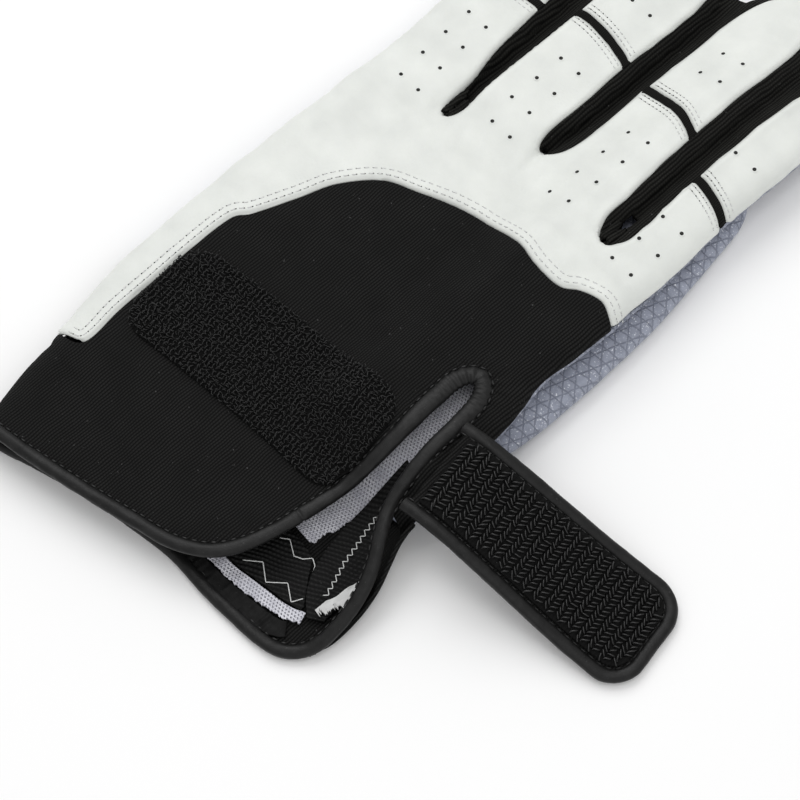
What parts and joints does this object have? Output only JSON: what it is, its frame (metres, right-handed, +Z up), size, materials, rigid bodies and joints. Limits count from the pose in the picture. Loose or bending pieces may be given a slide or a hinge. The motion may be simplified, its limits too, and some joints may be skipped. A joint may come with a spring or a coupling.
{
  "type": "golf rain glove",
  "caption": "Left-hand golf glove for rain, lying palm down with its slit open and the hook-and-loop strap folded out, leather back, knit cuff and hollow fingers.",
  "frame": {"origin": "middle of the bounding box in plan, on the surface that the glove lies on", "axes": "+Z up, +Y along the middle finger toward its tip, +X toward the thumb side"},
  "size_m": [0.1632, 0.2346, 0.0211],
  "materials": {
    "white_leather": "soft matt white leather, perforated in double rows over the fingers",
    "black_knit": "matt black stretch knit with fine ribs",
    "black_rib": "matt black ribbed stretch cloth",
    "grey_grip_cloth": "blue-grey grip cloth with a small triangle relief",
    "piping": "soft charcoal synthetic leather with a dull sheen",
    "loop_pile": "black looped pile in short ribs",
    "hooks": "black plastic hooks in chevron rows, slightly shiny",
    "mesh_lining": "pale grey open mesh",
    "white_interfacing": "white woven interfacing with a frayed edge"
  },
  "bodies": {
    "root": {"back_leather": "white_leather", "knuckle_band_pinky": "black_rib", "knuckle_band_ring": "black_rib", "knuckle_band_middle": "black_rib", "knuckle_band_index": "black_rib", "finger_back_pinky": "white_leather", "finger_back_ring": "white_leather", "finger_back_middle": "white_leather", "finger_back_index": "white_leather", "fourchette_pinky_ring": "black_rib", "fourchette_ring_middle": "black_rib", "fourchette_middle_index": "black_rib", "palm_panel": "grey_grip_cloth", "thumb_sleeve": "grey_grip_cloth", "cuff_panel": "black_knit", "wrist_under_panel": "black_knit", "wrist_binding": "piping", "loop_patch": "loop_pile", "strap_body": "black_knit", "strap_binding": "piping", "hook_patch": "hooks", "palm_lining": "mesh_lining", "seam_tape": "black_rib", "wrist_elastic": "black_rib", "hem_mesh": "mesh_lining", "hem_facing": "black_knit", "inner_label": "white_interfacing"}
  },
  "joints": []
}
